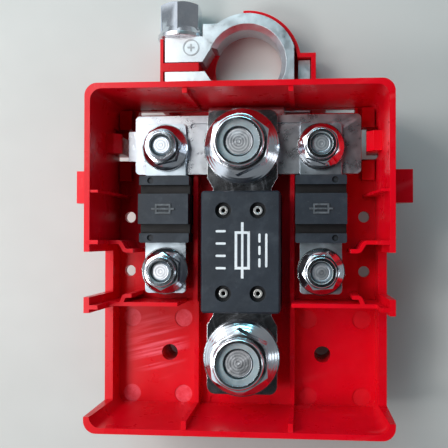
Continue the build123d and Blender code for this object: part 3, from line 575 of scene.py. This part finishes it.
def fuse_symbol(bm, middle, length, width, line, low, high, upright=True):
    """A box with a line through it and past both ends, in blocks that only touch."""
    def place(along, across, long, wide):
        """One block, placed along and across the line."""
        offset = (across, along) if upright else (along, across)
        size = (wide, long) if upright else (long, wide)
        bar(bm, (middle[0] + offset[0], middle[1] + offset[1]), size, low, high)

    half = BOX_HALF * length
    for sign in (-1, 1):
        place(sign * (half - line / 2), 0, line, width)
        place(0, sign * (width - line) / 2, 2 * (half - line), line)
        place(sign * (half + length / 2) / 2, 0, length / 2 - half, line)
    place(0, 0, 2 * (half - line), line * 0.9)


# Large fuse: a fuse symbol between a direct-current sign and a row of bars
face = top("large_fuse_upper_case")
middle = centre("large_fuse_upper_case")
low, high = face - INK_DEPTH, face + INK_HEIGHT
bm = bmesh.new()
fuse_symbol(bm, (middle.x + 0.45 * MM, middle.y + 0.4 * MM), 13.2 * MM, 3.6 * MM, 0.62 * MM, low, high)
for k in range(4):
    y = middle.y + (4.9 - 2.9 * k) * MM
    prism(bm, stroke((middle.x - 5.6 * MM, y), (middle.x - 3.7 * MM, y), INK_LINE), low, high)
x = middle.x + 6.1 * MM
prism(bm, stroke((x, middle.y + 4.1 * MM), (x, middle.y - 3.3 * MM), INK_LINE), low, high)
x = middle.x + 4.5 * MM
for k in range(3):
    y = middle.y + (4.1 - 2.9 * k) * MM
    prism(bm, stroke((x, y), (x, y - 1.6 * MM), INK_LINE), low, high)
piece_from(bm, "large_fuse_print", INK)

# Small fuses: a raised fuse symbol, painted paler as a highlight
for side in SIDES:
    face = top(f"{side}_fuse_upper_case")
    middle = centre(f"{side}_fuse_upper_case")
    bm = bmesh.new()
    fuse_symbol(
        bm, (middle.x, middle.y), 5.6 * MM, 2.4 * MM, 0.45 * MM,
        face - EMBOSS_DEPTH, face + EMBOSS_HEIGHT, upright=False,
    )
    piece_from(bm, f"{side}_fuse_symbol", RAISED_HIGHLIGHT)

# Clamp: the raised polarity sign on the upper ear, in a darker copy of the cast tin as painted shade
low, high = EAR_TOP - SIGN_DEPTH, EAR_TOP + SIGN_HEIGHT
x, y = SIGN_MIDDLE
bm = bmesh.new()
ring_strip(bm, SIGN_MIDDLE, 2.0 * MM, 0.34 * MM, low, high)
arm, line = 1.9 * MM, 0.42 * MM
bar(bm, SIGN_MIDDLE, (arm, line), low, high)
for sign in (-1, 1):
    bar(bm, (x, y + sign * (arm + line) / 4), (line, (arm - line) / 2), low, high)
piece_from(bm, "polarity_sign", SHADED_SIGN_TIN)


# ---------------------------------------------------------------- floor, lights and camera

FLOOR_REACH = 3.0
bm = bmesh.new()
bm.faces.new([
    bm.verts.new((x * FLOOR_REACH, y * FLOOR_REACH, LOWEST))
    for x, y in ((-1, -1), (1, -1), (1, 1), (-1, 1))
])
floor_mesh = bpy.data.meshes.new("floor")
bm.to_mesh(floor_mesh)
bm.free()
floor_mesh.materials.append(pale_floor())
floor = bpy.data.objects.new("floor", floor_mesh)
bpy.context.scene.collection.objects.link(floor)


def area_light(name, place, target, size, power, colour):
    """A soft rectangular light that faces a point."""
    data = bpy.data.lights.new(name, "AREA")
    data.shape = "RECTANGLE"
    data.size, data.size_y = size
    data.energy = power
    data.color = colour
    light = bpy.data.objects.new(name, data)
    light.location = place
    light.rotation_euler = (Vector(target) - Vector(place)).to_track_quat("-Z", "Y").to_euler()
    bpy.context.scene.collection.objects.link(light)


# Each light's name, place from the tray's middle, size, power and colour
LIGHTS = (
    ("key", (-0.19, 0.11, 0.24), (0.14, 0.20), 0.52, (1.0, 0.98, 0.96)),
    ("bay", (-0.13, -0.04, 0.17), (0.06, 0.06), 0.16, (1.0, 1.0, 1.0)),
    ("fill", (0.34, -0.06, 0.30), (0.08, 0.24), 0.12, (0.92, 0.96, 1.0)),
    ("sky", (-0.02, 0.36, 0.30), (0.26, 0.06), 0.45, (0.30, 0.86, 1.0)),
)
for name, offset, size, power, colour in LIGHTS:
    area_light(name, TRAY_MIDDLE + Vector(offset), TRAY_MIDDLE, size, power, colour)


def studio_world():
    """Soft surroundings: dark straight above, brightest low down on the key light's side."""
    world = bpy.data.worlds.new("studio")
    world.use_nodes = True
    tree = world.node_tree
    direction = tree.nodes.new("ShaderNodeTexCoord").outputs["Generated"]
    background = tree.nodes["Background"]
    background.inputs["Color"].default_value = (0.92, 0.96, 1.0, 1.0)

    def along(axis, low, high, start, end):
        """Brightness that runs from start to end as the view turns towards an axis."""
        dot = tree.nodes.new("ShaderNodeVectorMath")
        dot.operation = "DOT_PRODUCT"
        dot.inputs[1].default_value = Vector(axis).normalized()
        tree.links.new(direction, dot.inputs[0])
        span = tree.nodes.new("ShaderNodeMapRange")
        span.interpolation_type = "SMOOTHSTEP"
        for key, value in (("From Min", low), ("From Max", high), ("To Min", start), ("To Max", end)):
            span.inputs[key].default_value = value
        tree.links.new(dot.outputs["Value"], span.inputs["Value"])
        return span.outputs["Result"]

    def combined(operation, first, second):
        """The result of a math node on two sockets."""
        made = tree.nodes.new("ShaderNodeMath")
        made.operation = operation
        tree.links.new(first, made.inputs[0])
        tree.links.new(second, made.inputs[1])
        return made.outputs[0]

    overhead = along((0.15, 0, 1), 0.72, 0.98, 0.22, 0.008)
    side = along((-1, 0.35, 0), 0.20, 0.42, 0.0, 0.85)
    above_horizon = along((0, 0, 1), 0.14, 0.34, 0.0, 1.0)
    horizon = along((0, 0, 1), 0.10, 0.34, 0.12, 0.0)
    raised_side = combined("MULTIPLY", side, above_horizon)
    strength = combined("ADD", raised_side, combined("ADD", overhead, horizon))
    tree.links.new(strength, background.inputs["Strength"])
    return world


bpy.context.scene.world = studio_world()

CAMERA_PLACE = Vector((15.24, -45.96, 176.75)) * MM
CAMERA_TURN_X, CAMERA_TURN_Y, CAMERA_TURN_Z = -0.0105, -0.0810, -0.00177

camera_data = bpy.data.cameras.new("camera")
camera_data.lens = 52.62
camera_data.sensor_width = 36.0
camera_data.shift_x = -0.0631
camera_data.shift_y = 0.0204
camera_data.clip_start = 0.01
camera = bpy.data.objects.new("camera", camera_data)
turned_x = Matrix.Rotation(CAMERA_TURN_X, 3, "X")
turned_y = Matrix.Rotation(CAMERA_TURN_Y, 3, "Y")
turned_z = Matrix.Rotation(CAMERA_TURN_Z, 3, "Z")
tilt = turned_z @ turned_x @ turned_y
camera.matrix_world = Matrix.Translation(CAMERA_PLACE) @ tilt.transposed().to_4x4()
bpy.context.scene.collection.objects.link(camera)
bpy.context.scene.camera = camera
bpy.context.scene.view_settings.view_transform = "Standard"
